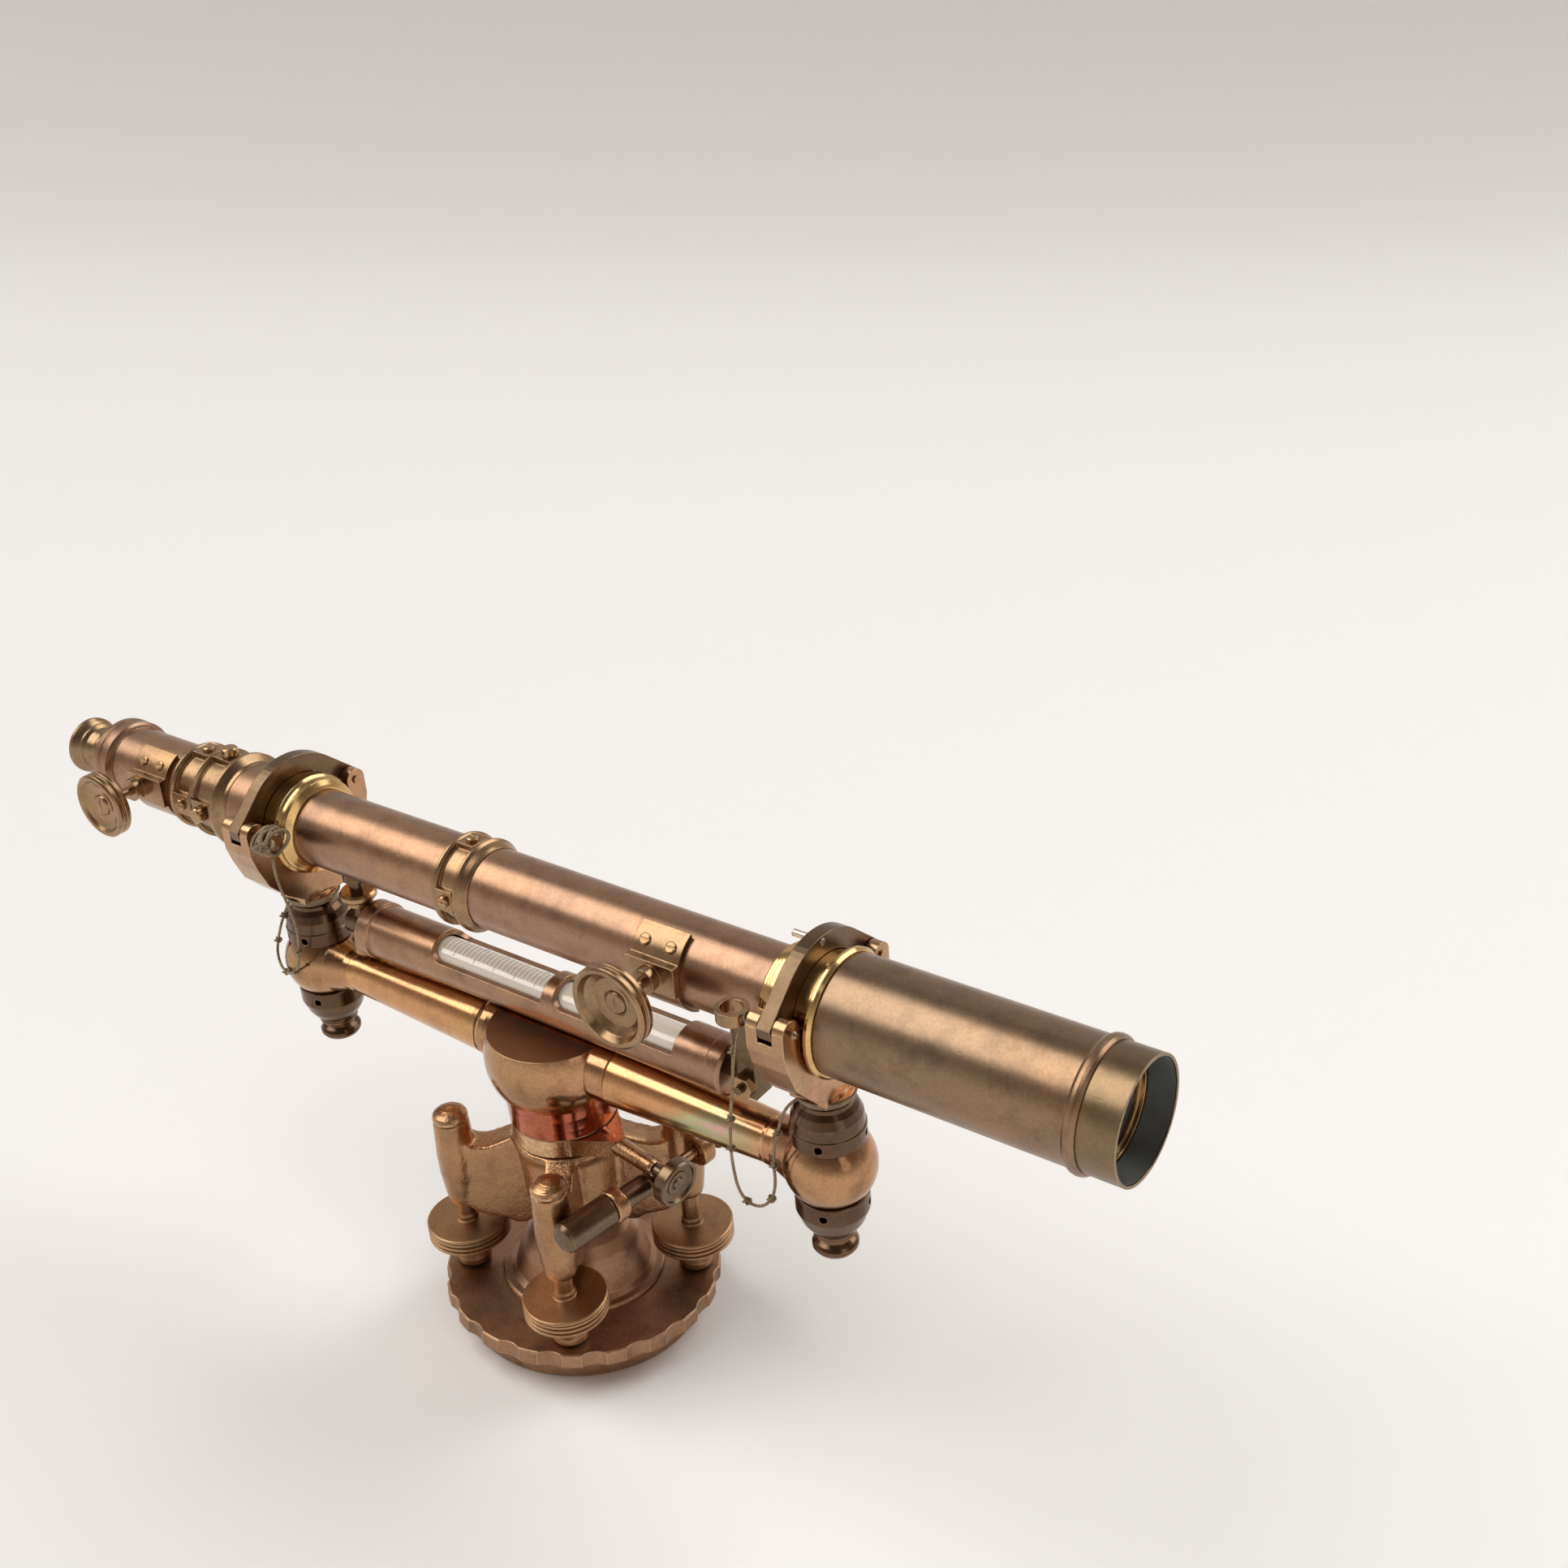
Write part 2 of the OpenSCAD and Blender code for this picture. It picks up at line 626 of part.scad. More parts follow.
module middle_ring()
    color("darkkhaki") scope() difference() {
        union() {
            turned_x([[14, -35], [17.6, -35], [18.3, -34.2], [18.3, -33.4],
                [17.6, -32.6], [16.2, -32.4], [16.2, -24.6], [17.6, -24.4],
                [18.3, -23.6], [18.3, -22.8], [17.4, -21.8], [16.6, -19.6],
                [tube_r + 0.4, -18.4], [tube_r, -18.4], [tube_r, -22.5],
                [14, -22.5]]);
            pads(17.8, -32.5, -24.5, 4.4);
        }
        ring_x(tube_r, 0, -36, -34.5);
        ring_x(13.8, 0, -40, -10);
    }

module objective_barrel()
    color("rosybrown") scope()
        turned_x([[20.3, 140.6], [21.2, 140.6], [barrel_r, 141.2],
            [barrel_r, 231], [22, 231.2], [22.7, 232.2], [22.9, 233.4],
            [22.7, 234.6], [22, 235.6], [20.3, 235.6]]);

module sunshade()
    color("darkkhaki") scope()
        ring_x(barrel_r - 0.1, 20.4, 235.6, 248.8);

module objective_slide()
    color("goldenrod") scope() difference() {
        union() {
            ring_x(slide_r, 11.4, 40, 222);
            turned_x([[11.4, 220], [18, 221], [20, 222], [20, 239],
                [19.2, 239.6], [17.4, 239.6], [17.4, 238], [16.6, 238],
                [16.6, 225], [11.4, 224]]);
            rack(44, 106, -13, -11.8, focus_dz);
        }
        ring_x(11.3, 0, 30, 223);
    }

module objective_lens()
    color("azure") scope()
        turned_x([[0, 231.6], [6, 231.8], [12, 232.5], [16.6, 233.4],
            [16.6, 237], [12, 238], [6, 238.7], [0, 239]]);

// A pinion saddle on the near side of a tube of radius r, from x0 to x1
module saddle(x, dz, r, x0, x1)
    difference() {
        union() {
            ring_x(r + 1.8, r, x0, x1);
            translate([x, -r - 7, dz]) rotate([-90, 0, 0])
                cylinder(r = 4.8, h = 7);
            translate([x0, -r - 3, dz - 6]) cube([x1 - x0, 4, 12]);
        }
        translate([x0 - 1, -r + 9, -r - 5])
            cube([x1 - x0 + 2, 2 * r, 2 * r + 10]);
        ring_x(r, 0, x0 - 1, x1 + 1);
        translate([x, -r - 9, dz]) rotate([-90, 0, 0])
            cylinder(r = 2 + run, h = 20);
        translate([x, -r - 0.1, dz]) rotate([-90, 0, 0])
            cylinder(r = gear_r + 0.4, h = 8);
    }

module pinion_saddles()
    color("darkkhaki") scope() {
        saddle(focus_x, focus_dz, tube_r, focus_x - 10.5, focus_x + 10.5);
        saddle(eye_x, eye_dz, 15, eye_x - 5.4, eye_x + 15.5);
    }

// A dished milled knob on its pinion, outwards along -Y from y0. The pinion
// runs from y_in to y_wheel, and dish is how deep the face is turned out.
module knob(x, dz, r, y0, y_in, y_wheel, dish)
    translate([x, 0, dz]) rotate([90, 0, 0]) difference() {
        turned([[0, y_in], [gear_r, y_in], [gear_r, y_wheel],
            [2, y_wheel], [2, y0 - 3.5], [4.6, y0 - 3], [4.6, y0],
            [r - 3, y0 + 0.8], [r - 0.6, y0 + 1.4], [r, y0 + 2],
            [r, y0 + 3.6], [r - 0.8, y0 + 4.1], [r - 0.8, y0 + 4.6],
            [r, y0 + 5.1], [r, y0 + 6.6], [r - 1, y0 + 7.4],
            [r - 2.2, y0 + 7.2], [r - 3.4, y0 + 6.8 - dish / 2],
            [r * 0.6, y0 + 6.6 - dish], [5.4, y0 + 6.2 - dish],
            [4.6, y0 + 6.4 - dish], [4.2, y0 + 7.2 - dish],
            [3.6, y0 + 7.6 - dish], [0, y0 + 7.8 - dish]]);
        translate([0, 0, y0 + 8.4 - dish])
            cube([1, 10, 2], center = true);
    }

module focus_knob()
    color("darkkhaki") scope()
        knob(focus_x, focus_dz, 15.6, 34, 12.9, 15.4, 4.2);

module eyepiece_knob()
    color("darkkhaki") scope()
        knob(eye_x, eye_dz, 14, 31, 10.8, 14.8, 1.6);

module reticle_housing()
    color("darkkhaki") scope() difference() {
        union() {
            turned_x([[12.6, -187.5], [17.4, -187.5], [18.3, -186.6],
                [18.3, -185.8], [17.4, -185], [16, -184.8], [16, -175],
                [17.6, -174.6], [19, -173.6], [19, -172.6], [17.6, -171.8],
                [16.8, -171.6], [16.8, -161], [18.6, -160.4],
                [20.2, -159.2], [20.2, -157.6], [19, -156.4], [17.4, -154.8],
                [17, -153], [16.9, -153], [16.9, -155.5], [tube_r, -155.5],
                [tube_r, -157], [12.6, -157]]);
            pads(17.9, -184.8, -174.8, 4.6);
            pads(18.7, -171.7, -160.9, 4.8);
        }
        ring_x(12.6, 0, -190, -150);
        for (k = [0 : 3]) rotate([90 * k + pad_roll, 0, 0])
            translate([-166, 0, 8]) cylinder(r = 1.8, h = 20);
    }

module reticle_diaphragm()
    color("dimgray") scope() difference() {
        turned_x([[7, -169], [11.6, -169], [11.6, -163], [8, -163],
            [7.6, -166]]);
        for (k = [0 : 3]) rotate([90 * k + pad_roll, 0, 0])
            translate([-166, 0, 8]) cylinder(r = 1.8, h = 20);
    }

module tube_screws()
    color("darkgoldenrod") scope() {
        for (k = [0 : 3]) rotate([90 * k + pad_roll, 0, 0]) {
            translate([-28.5, 0, 17.8]) slotted_head(2.4, 1.5);
            translate([-179.8, 0, 17.9]) slotted_head(2.5, 1.5);
            translate([-166, 0, 8.4])
                difference() {
                    turned([[0, 0], [1.8, 0], [1.8, 10.3], [3.2, 10.3],
                        [3.4, 10.8], [3.4, 13.4], [2.8, 14], [0, 14]]);
                    translate([0, 0, 12.2]) rotate([90, 0, 0])
                        cylinder(r = 0.7, h = 10, center = true);
                }
        }
        for (side = [-1, 1]) {
            rotate([46, 0, 0]) translate([focus_x + side * 5.6, 0,
                tube_r + 1.8]) slotted_head(2.2, 0.8);
            rotate([46, 0, 0]) translate([eye_x + 5 + side * 5, 0, 16.8])
                slotted_head(2, 0.8);
        }
    }

module eyepiece_tube()
    color("rosybrown") scope() difference() {
        turned_x([[eye_slide_r + run, -239.5], [16, -239.5],
            [17.3, -238.8], [17.4, -236.5], [16.8, -235.4], [17.2, -234.2],
            [17.2, -231], [16.2, -230], [15, -229.6], [15, -187.5],
            [12.8, -187.5], [12.8, -236], [eye_slide_r + run, -236]]);
        pinion_slot(eye_x, eye_dz);
    }

module eyepiece_slide()
    color("goldenrod") scope() {
        turned_x([[7, -190], [12.5, -190], [12.5, -193],
            [eye_slide_r, -193.4], [eye_slide_r, -242], [8.8, -242.6],
            [8.6, -252], [9.2, -256], [10.6, -257.4], [10.6, -258.4],
            [9.8, -259.2], [11.2, -260.6], [12.2, -262], [12.2, -263.2],
            [11.6, -264], [9, -264], [6, -260.6], [3, -259.8], [3, -256],
            [7, -254]]);
        rack(eye_x - 13, eye_x + 15, -11.9, -9.8, eye_dz);
    }

module eyepiece_lenses()
    color("azure") scope() for (x = [-252, -243, -222, -198])
        turned_x([[0, x - 1.5], [4, x - 1.2], [7, x - 0.6], [7, x + 0.6],
            [4, x + 1.2], [0, x + 1.5]]);

// ---- Spirit level ----

module vial_frame() lean() translate([0, 0, vial_z]) children();

// A window cut across the top of the level's tube, rounded at one end
module window(x0, x1)
    rotate([90, 0, 0]) linear_extrude(height = 24, center = true) hull() {
        translate([x0 + 5.4, 9]) circle(r = 5.4);
        translate([x0, 13]) square([2, 2]);
        translate([x1 - 1, 3.6]) square([1, 11.4]);
    }

module vial_tube()
    color("rosybrown") vial_frame() difference() {
        union() {
            ring_x(vial_r, 8.6, -vial_half, vial_half);
            turned_x([[0, -vial_half - 6], [11, -vial_half - 6],
                [11.8, -vial_half - 5], [11.8, -vial_half + 1],
                [vial_r, -vial_half + 1.6], [0, -vial_half + 1.6]]);
            turned_x([[0, vial_half + 2], [9.8, vial_half + 2],
                [11, vial_half + 1], [11, vial_half - 4],
                [vial_r, vial_half - 4.6], [0, vial_half - 4.6]]);
        }
        window(-52, 6);
        window(11, 69);
    }

module vial_glass()
    color("honeydew") vial_frame()
        turned_x([[0, -72], [5, -71], [7.6, -68], [7.9, -66], [7.9, 78],
            [7.6, 79], [5, 81], [0, 82]]);

module vial_hangers()
    color("darkgoldenrod") lean() {
        translate([hanger_rear_x, 0, 0]) difference() {
            union() {
                translate([0, 0, 140])
                    turned([[0, 0], [3, 0], [3, 34], [0, 34]]);
                translate([0, 0, vial_z]) rotate([0, 90, 0])
                    cylinder(r = 5.4, h = 11.6, center = true);
                translate([0, 0, 171]) cylinder(r = 5, h = 5);
            }
            scope_hole();
        }
        translate([hanger_front_x, 0, 0]) difference() {
            union() {
                translate([-3, -4.5, 143]) cube([8, 9, 32.4]);
                translate([-7, 0, vial_z]) rotate([0, 90, 0])
                    cylinder(r = 3.6, h = 6);
                translate([1, 0, vial_z - 1]) rotate([90, 0, 0])
                    cylinder(r = 1.6, h = 20, center = true);
            }
            scope_hole();
        }
    }

// Clears the main tube out of a hanger
module scope_hole()
    translate([0, 0, scope_z]) rotate([0, 90, 0])
        cylinder(r = tube_r, h = 60, center = true);

module vial_nuts()
    color("goldenrod") lean() {
        translate([hanger_rear_x, 0, 0]) {
            ring_z(5.6, 3, 160, 162.3);
            turned([[3, 162.3], [6.8, 162.3], [7.6, 163.3], [7.6, 164.9],
                [6.8, 165.9], [3, 165.9]]);
            difference() {
                ring_z(6, 3, 138, 143.6);
                for (k = [0 : 3]) rotate([0, 0, 30 + 90 * k])
                    translate([0, 0, 140.8]) rotate([0, 90, 0])
                        translate([0, 0, 4]) cylinder(r = 1, h = 4);
            }
        }
        translate([hanger_front_x + 1, 0, vial_z - 1])
            for (side = [-1, 1]) translate([0, side * 4.6, 0])
                rotate([-90 * side, 0, 0]) rotate_extrude($fn = 6)
                    polygon([[1.9, 0], [4.6, 0], [4.6, 3.4], [1.9, 3.4]]);
    }

foot_plate();
ball_socket();
leveling_ball();
spider();
post_caps();
spindle_bush();
tangent_brackets();
spring_barrel();
tangent_spring();
spring_plunger();
tangent_screw();
leveling_screw_1();
leveling_screw_2();
leveling_screw_3();
leveling_screw_4();
screw_shoe_1();
screw_shoe_2();
screw_shoe_3();
screw_shoe_4();
clamp_collar();
clamp_screw();
bar_hub();
spindle();
spindle_sleeve();
bar_tubes();
bar_ends();
wye_front();
wye_rear();
finials();
upper_nuts();
lower_nuts();
hinge_pins();
clip_front();
clip_rear();
clip_pin_front();
clip_pin_rear();
stop_pin();
cord_front();
cord_rear();
main_tube();
front_collar();
rear_collar();
middle_ring();
objective_barrel();
sunshade();
objective_slide();
objective_lens();
pinion_saddles();
focus_knob();
reticle_housing();
reticle_diaphragm();
tube_screws();
eyepiece_tube();
eyepiece_slide();
eyepiece_lenses();
eyepiece_knob();
vial_tube();
vial_glass();
vial_hangers();
vial_nuts();
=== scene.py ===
import bpy
import bmesh
import json
import math
from mathutils import Matrix, Vector


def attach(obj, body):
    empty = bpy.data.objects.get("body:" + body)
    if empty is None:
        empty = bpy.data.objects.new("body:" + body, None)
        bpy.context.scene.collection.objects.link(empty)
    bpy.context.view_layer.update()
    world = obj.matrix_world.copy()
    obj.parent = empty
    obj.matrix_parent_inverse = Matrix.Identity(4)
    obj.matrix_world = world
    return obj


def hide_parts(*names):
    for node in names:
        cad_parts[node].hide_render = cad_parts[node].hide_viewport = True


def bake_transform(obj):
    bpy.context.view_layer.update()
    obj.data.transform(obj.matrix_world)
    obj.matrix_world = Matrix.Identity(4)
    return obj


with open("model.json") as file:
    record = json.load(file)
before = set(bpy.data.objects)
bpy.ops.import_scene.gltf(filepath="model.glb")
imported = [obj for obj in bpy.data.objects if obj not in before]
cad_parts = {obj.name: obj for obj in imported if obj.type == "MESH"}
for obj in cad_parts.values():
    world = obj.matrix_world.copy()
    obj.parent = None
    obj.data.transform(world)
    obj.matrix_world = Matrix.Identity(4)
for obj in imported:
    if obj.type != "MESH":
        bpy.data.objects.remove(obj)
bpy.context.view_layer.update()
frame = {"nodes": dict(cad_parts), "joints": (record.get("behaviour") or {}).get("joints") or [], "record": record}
MM = 0.001
SCOPE_Z = 191.0     # the telescope's axis
LEVEL_Z = 150.0     # the level's axis
LEVEL_R = 7.9       # the level glass, outside
WYE_X = 129         # each wye's post, from the spindle
CORD_R = 0.65       # the cord's half thickness

# ---- The leaning frame, from the joints ----

JOINTS = {j["name"]: j for j in frame["joints"]}
AXIS_X = Vector(JOINTS["telescope_roll"]["axis"]).normalized()
AXIS_Z = Vector(JOINTS["azimuth"]["axis"]).normalized()
AXIS_Y = AXIS_Z.cross(AXIS_X)
BALL = Vector(JOINTS["tilt_a"]["pos_m"])
LEAN = Matrix.Translation(BALL) @ Matrix((
    (AXIS_X.x, AXIS_Y.x, AXIS_Z.x, 0),
    (AXIS_X.y, AXIS_Y.y, AXIS_Z.y, 0),
    (AXIS_X.z, AXIS_Y.z, AXIS_Z.z, 0),
    (0, 0, 0, 1))) @ Matrix.Translation(-BALL)


def at(x, y, z):
    """A point of the leaning frame, given in millimetres."""
    return LEAN @ Vector((x * MM, y * MM, z * MM))


# ---- Camera, floor and light ----

CAMERA_HEADING = math.radians(35.89)
CAMERA_DIP = math.radians(26.31)


def make_camera():
    data = bpy.data.cameras.new("camera")
    data.sensor_width = 36
    data.lens = 44.41
    data.clip_start = 0.01
    camera = bpy.data.objects.new("camera", data)
    bpy.context.scene.collection.objects.link(camera)
    camera.location = (0.4336, -0.4593, 0.5458)
    camera.rotation_euler = (math.radians(90) - CAMERA_DIP, 0, CAMERA_HEADING)
    bpy.context.scene.camera = camera
    bpy.context.scene.view_settings.view_transform = "Standard"


def area_light(name, where, towards, size, size_y, power, colour=(1, 1, 1)):
    data = bpy.data.lights.new(name, "AREA")
    data.shape = "RECTANGLE"
    data.size = size
    data.size_y = size_y
    data.energy = power
    data.color = colour
    light = bpy.data.objects.new(name, data)
    bpy.context.scene.collection.objects.link(light)
    light.location = where
    look = Vector(towards) - Vector(where)
    light.rotation_euler = look.to_track_quat("-Z", "Y").to_euler()


def soft_sun(name, place, strength, angle, colour=(1, 1, 1)):
    """Light as even as from a large window, from the side of place."""
    data = bpy.data.lights.new(name, "SUN")
    data.energy = strength
    data.angle = math.radians(angle)
    data.color = colour
    light = bpy.data.objects.new(name, data)
    light.location = place
    light.rotation_euler = Vector(place).to_track_quat("Z", "Y").to_euler()
    bpy.context.scene.collection.objects.link(light)


def make_studio():
    soft_sun("key", (-0.7, -0.45, 1.1), 1.90, 50, (1, 0.98, 0.95))
    soft_sun("back", (0.35, 1.0, 0.95), 1.30, 44)
    area_light("right", (1.25, -0.35, 0.75), (0.1, 0, 0.12), 0.5, 1.0, 1.2,
               (1, 0.95, 0.88))
    world = bpy.data.worlds.new("studio")
    bpy.context.scene.world = world
    world.use_nodes = True
    nodes, links = world.node_tree.nodes, world.node_tree.links
    nodes.clear()
    coords = nodes.new("ShaderNodeTexCoord")
    split = nodes.new("ShaderNodeSeparateXYZ")
    ramp = nodes.new("ShaderNodeValToRGB")
    stops = ((0.0, (0.55, 0.52, 0.48)), (0.50, (1.0, 0.97, 0.93)),
             (0.58, (0.62, 0.55, 0.49)), (0.70, (0.34, 0.28, 0.24)),
             (0.85, (0.12, 0.10, 0.09)), (1.0, (0.42, 0.41, 0.40)))
    elements = ramp.color_ramp.elements
    for k, (place, colour) in enumerate(stops):
        element = elements[k] if k < 2 else elements.new(place)
        element.position = place
        element.color = (*colour, 1)
    scale = nodes.new("ShaderNodeMath")
    scale.operation = "MULTIPLY_ADD"
    scale.inputs[1].default_value = 0.5
    scale.inputs[2].default_value = 0.5
    back = nodes.new("ShaderNodeBackground")
    back.inputs["Strength"].default_value = 0.8
    out = nodes.new("ShaderNodeOutputWorld")
    links.new(coords.outputs["Generated"], split.inputs[0])
    links.new(split.outputs["Z"], scale.inputs[0])
    links.new(scale.outputs[0], ramp.inputs[0])
    links.new(ramp.outputs[0], back.inputs["Color"])
    links.new(back.outputs[0], out.inputs["Surface"])


def make_floor():
    mesh = bpy.data.meshes.new("floor")
    half, curve_y = 3.0, 2.2
    points = [(-half, -half, 0), (half, -half, 0)]
    for k in range(13):
        a = math.radians(90 * k / 12)
        y = curve_y + 1.0 * math.sin(a)
        z = 1.0 - 1.0 * math.cos(a)
        points += [(-half, y, z), (half, y, z)]
    points += [(-half, curve_y + 1, 4), (half, curve_y + 1, 4)]
    turn = Matrix.Rotation(CAMERA_HEADING, 4, "Z")
    faces = [(2 * k, 2 * k + 1, 2 * k + 3, 2 * k + 2)
             for k in range(len(points) // 2 - 1)]
    mesh.from_pydata([turn @ Vector(p) for p in points], [], faces)
    mesh.polygons.foreach_set("use_smooth", [True] * len(mesh.polygons))
    floor = bpy.data.objects.new("floor", mesh)
    bpy.context.scene.collection.objects.link(floor)
    paint = bpy.data.materials.new("floor_paper")
    paint.use_nodes = True
    shader = paint.node_tree.nodes["Principled BSDF"]
    shader.inputs["Base Color"].default_value = (0.93, 0.925, 0.92, 1)
    shader.inputs["Roughness"].default_value = 0.75
    mesh.materials.append(paint)


# ---- Materials ----

class Nodes:
    """A few short calls for building one material's nodes."""

    def __init__(self, name):
        self.material = bpy.data.materials.new(name)
        self.material.use_nodes = True
        self.tree = self.material.node_tree
        self.shader = self.tree.nodes["Principled BSDF"]

    def add(self, kind, **inputs):
        node = self.tree.nodes.new("ShaderNode" + kind)
        for key, value in inputs.items():
            self.feed(node, key.replace("_", " "), value)
        return node

    def feed(self, node, key, value):
        socket = node.inputs[int(key)] if key.isdigit() else node.inputs[key]
        if isinstance(value, bpy.types.NodeSocket):
            self.tree.links.new(value, socket)
        else:
            socket.default_value = value

    def math(self, operation, a, b=0.0, c=0.0, clamp=False):
        node = self.tree.nodes.new("ShaderNodeMath")
        node.operation = operation
        node.use_clamp = clamp
        for k, value in enumerate((a, b, c)):
            self.feed(node, str(k), value)
        return node.outputs[0]

    def coords(self, scale=(1, 1, 1)):
        """Row-frame coordinates turned into the leaning frame, then scaled."""
        texture = self.add("TexCoord")
        turn = self.add("Mapping", Vector=texture.outputs["Object"])
        turn.inputs["Rotation"].default_value = \
            LEAN.to_3x3().inverted().to_euler()
        if tuple(scale) == (1, 1, 1):
            return turn.outputs[0]
        stretch = self.add("Mapping", Vector=turn.outputs[0])
        stretch.inputs["Scale"].default_value = scale
        return stretch.outputs[0]

    def noise(self, scale, detail=3.0, roughness=0.5, stretch=(1, 1, 1),
              distortion=0.0):
        node = self.add("TexNoise", Vector=self.coords(stretch), Scale=scale,
                        Detail=detail, Roughness=roughness,
                        Distortion=distortion)
        return node.outputs["Fac"]

    def ramp(self, value, *stops):
        """Stops are (place, grey level) or (place, colour)."""
        node = self.tree.nodes.new("ShaderNodeValToRGB")
        elements = node.color_ramp.elements
        for k, (place, colour) in enumerate(stops):
            element = elements[k] if k < 2 else elements.new(place)
            element.position = place
            if isinstance(colour, (int, float)):
                colour = (colour,) * 3
            element.color = (*colour, 1)
        self.tree.links.new(value, node.inputs[0])
        return node.outputs[0]

    def mix(self, factor, a, b, blend="MIX"):
        node = self.tree.nodes.new("ShaderNodeMix")
        node.data_type = "RGBA"
        node.blend_type = blend
        self.feed(node, "0", factor)
        for socket, value in ((node.inputs[6], a), (node.inputs[7], b)):
            if isinstance(value, bpy.types.NodeSocket):
                self.tree.links.new(value, socket)
            else:
                socket.default_value = (*value, 1)
        return node.outputs[2]

    def bump(self, height, strength, distance, normal=None):
        node = self.add("Bump", Height=height, Strength=strength,
                        Distance=distance)
        if normal is not None:
            self.tree.links.new(normal, node.inputs["Normal"])
        return node.outputs[0]

    def set(self, **inputs):
        for key, value in inputs.items():
            self.feed(self.shader, key.replace("_", " "), value)


def metal(name, base, warm, dark, bright, roughness, lathe=None, lathe_depth=0.2,
          sand=0.0, blotch=22.0, painted_shade_depth=0.35, wear=0.6, spots=0.35, edge=0.0005,
          dents=0.03, pitting=0.08, flat_top=None, stain=None):
    """Aged brass or bronze.

    base, warm and dark are its three patina colours, bright the bared metal
    on worn edges. lathe is the axis the piece was turned on, and edge how
    far its corners are rounded, in metres, or None where the mesh itself is
    rounded. flat_top is the radius about the spindle within which faces
    that look up are matt, and stain a place, a reach and two colours of
    heat or damp stains there.
    """
    n = Nodes(name)
    patches = n.noise(blotch, 5.0, 0.62, distortion=0.6)
    colour = n.mix(n.ramp(patches, (0.40, 0.0), (0.66, 1.0)), base, warm)
    clouds = n.noise(blotch * 3.7, 6.0, 0.68)
    colour = n.mix(n.ramp(clouds, (0.48, 0.0), (0.74, spots)), colour, dark)
    fine = n.noise(900.0, 3.0, 0.6)
    colour = n.mix(n.ramp(fine, (0.35, 0.25), (0.65, 0.0)), colour, dark)
    # Painted shade: an ambient-occlusion mask darkens the colour in hollows, creases and gaps between parts; the
    # same mask also roughens those places and keeps wear off them.
    hollow = n.add("AmbientOcclusion", Distance=0.0022)
    hollow.samples = 4
    painted_shade_mask = n.math("MULTIPLY", n.ramp(hollow.outputs["AO"], (0.15, 1.0),
                                     (0.60, 0.0)), painted_shade_depth)
    # Painted shade laid into the colour: a deeper tone of dark where the occlusion mask is high.
    colour = n.mix(painted_shade_mask, colour, tuple(0.45 * c for c in dark))
    shape = n.tree.nodes.new("ShaderNodeNewGeometry")
    normal = flat = shape.outputs["Normal"]
    if edge:
        bevel = n.add("Bevel", Radius=edge)
        bevel.samples = 4
        normal = bevel.outputs[0]
        turned = n.tree.nodes.new("ShaderNodeVectorMath")
        turned.operation = "DOT_PRODUCT"
        n.feed(turned, "0", normal)
        n.feed(turned, "1", flat)
        corner = n.ramp(turned.outputs["Value"], (0.90, 1.0), (0.985, 0.0))
    else:
        corner = n.ramp(shape.outputs["Pointiness"], (0.525, 0.0),
                        (0.575, 1.0))
    grit = n.ramp(n.noise(320.0, 4.0, 0.7), (0.35, 0.25), (0.60, 1.0))
    worn = n.math("MULTIPLY", n.math("MULTIPLY", corner, grit), wear)
    worn = n.math("MULTIPLY", worn, n.math("SUBTRACT", 1.0, painted_shade_mask))
    colour = n.mix(worn, colour, bright)
    rough = n.math("MULTIPLY_ADD", n.noise(140.0, 5.0, 0.65), 0.12,
                   roughness - 0.06)
    rough = n.math("MULTIPLY_ADD", painted_shade_mask, 0.35, rough, clamp=True)
    if flat_top:
        upward = n.add("SeparateXYZ", Vector=n.coords())
        reach = n.math("ADD", n.math("POWER", upward.outputs["X"], 2.0),
                       n.math("POWER", upward.outputs["Y"], 2.0))
        looks = n.add("SeparateXYZ", Vector=flat)
        matt = n.math("MULTIPLY", n.ramp(looks.outputs["Z"], (0.985, 0.0),
                                         (0.992, 1.0)),
                      n.math("LESS_THAN", reach, flat_top ** 2))
        rough = n.math("MULTIPLY_ADD", matt, 0.22, rough, clamp=True)
        colour = n.mix(n.math("MULTIPLY", matt, 0.75), colour,
                       (0.30, 0.170, 0.095))
    if stain:
        place, reach, first, second = stain
        away = n.tree.nodes.new("ShaderNodeVectorMath")
        away.operation = "DISTANCE"
        n.feed(away, "0", n.coords())
        away.inputs[1].default_value = place
        near = n.ramp(away.outputs["Value"], (reach * 0.35, 1.0),
                      (reach, 0.0))
        streaks = n.noise(120.0, 4.0, 0.6, stretch=(0.25, 1, 1))
        colour = n.mix(n.math("MULTIPLY", near, n.ramp(
            streaks, (0.44, 0.0), (0.56, 0.75))), colour, first)
        colour = n.mix(n.math("MULTIPLY", near, n.ramp(
            streaks, (0.60, 0.0), (0.68, 0.8))), colour, second)
    if lathe:
        stretch = {"x": (1, 0.012, 0.012), "y": (0.012, 1, 0.012),
                   "z": (0.012, 0.012, 1)}[lathe]
        lines = n.noise(2600.0, 2.0, 0.7, stretch=stretch)
        rough = n.math("MULTIPLY_ADD", lines, 0.06, n.math(
            "SUBTRACT", rough, 0.03), clamp=True)
        normal = n.bump(lines, 0.35 * lathe_depth, 0.00008, normal)
    if sand:
        grains = n.noise(1500.0, 2.0, 0.5)
        lumps = n.noise(260.0, 3.0, 0.6)
        height = n.math("MULTIPLY_ADD", lumps, 2.0, grains)
        normal = n.bump(height, sand, 0.0004, normal)
    hollows = n.noise(75.0, 2.0, 0.5)
    normal = n.bump(hollows, dents, 0.0006, normal)
    pits = n.ramp(n.noise(420.0, 1.0, 0.5), (0.70, 0.0), (0.76, 1.0))
    normal = n.bump(pits, pitting, -0.0002, normal)
    n.set(Base_Color=colour, Metallic=1.0, Roughness=rough, Normal=normal)
    return n.material


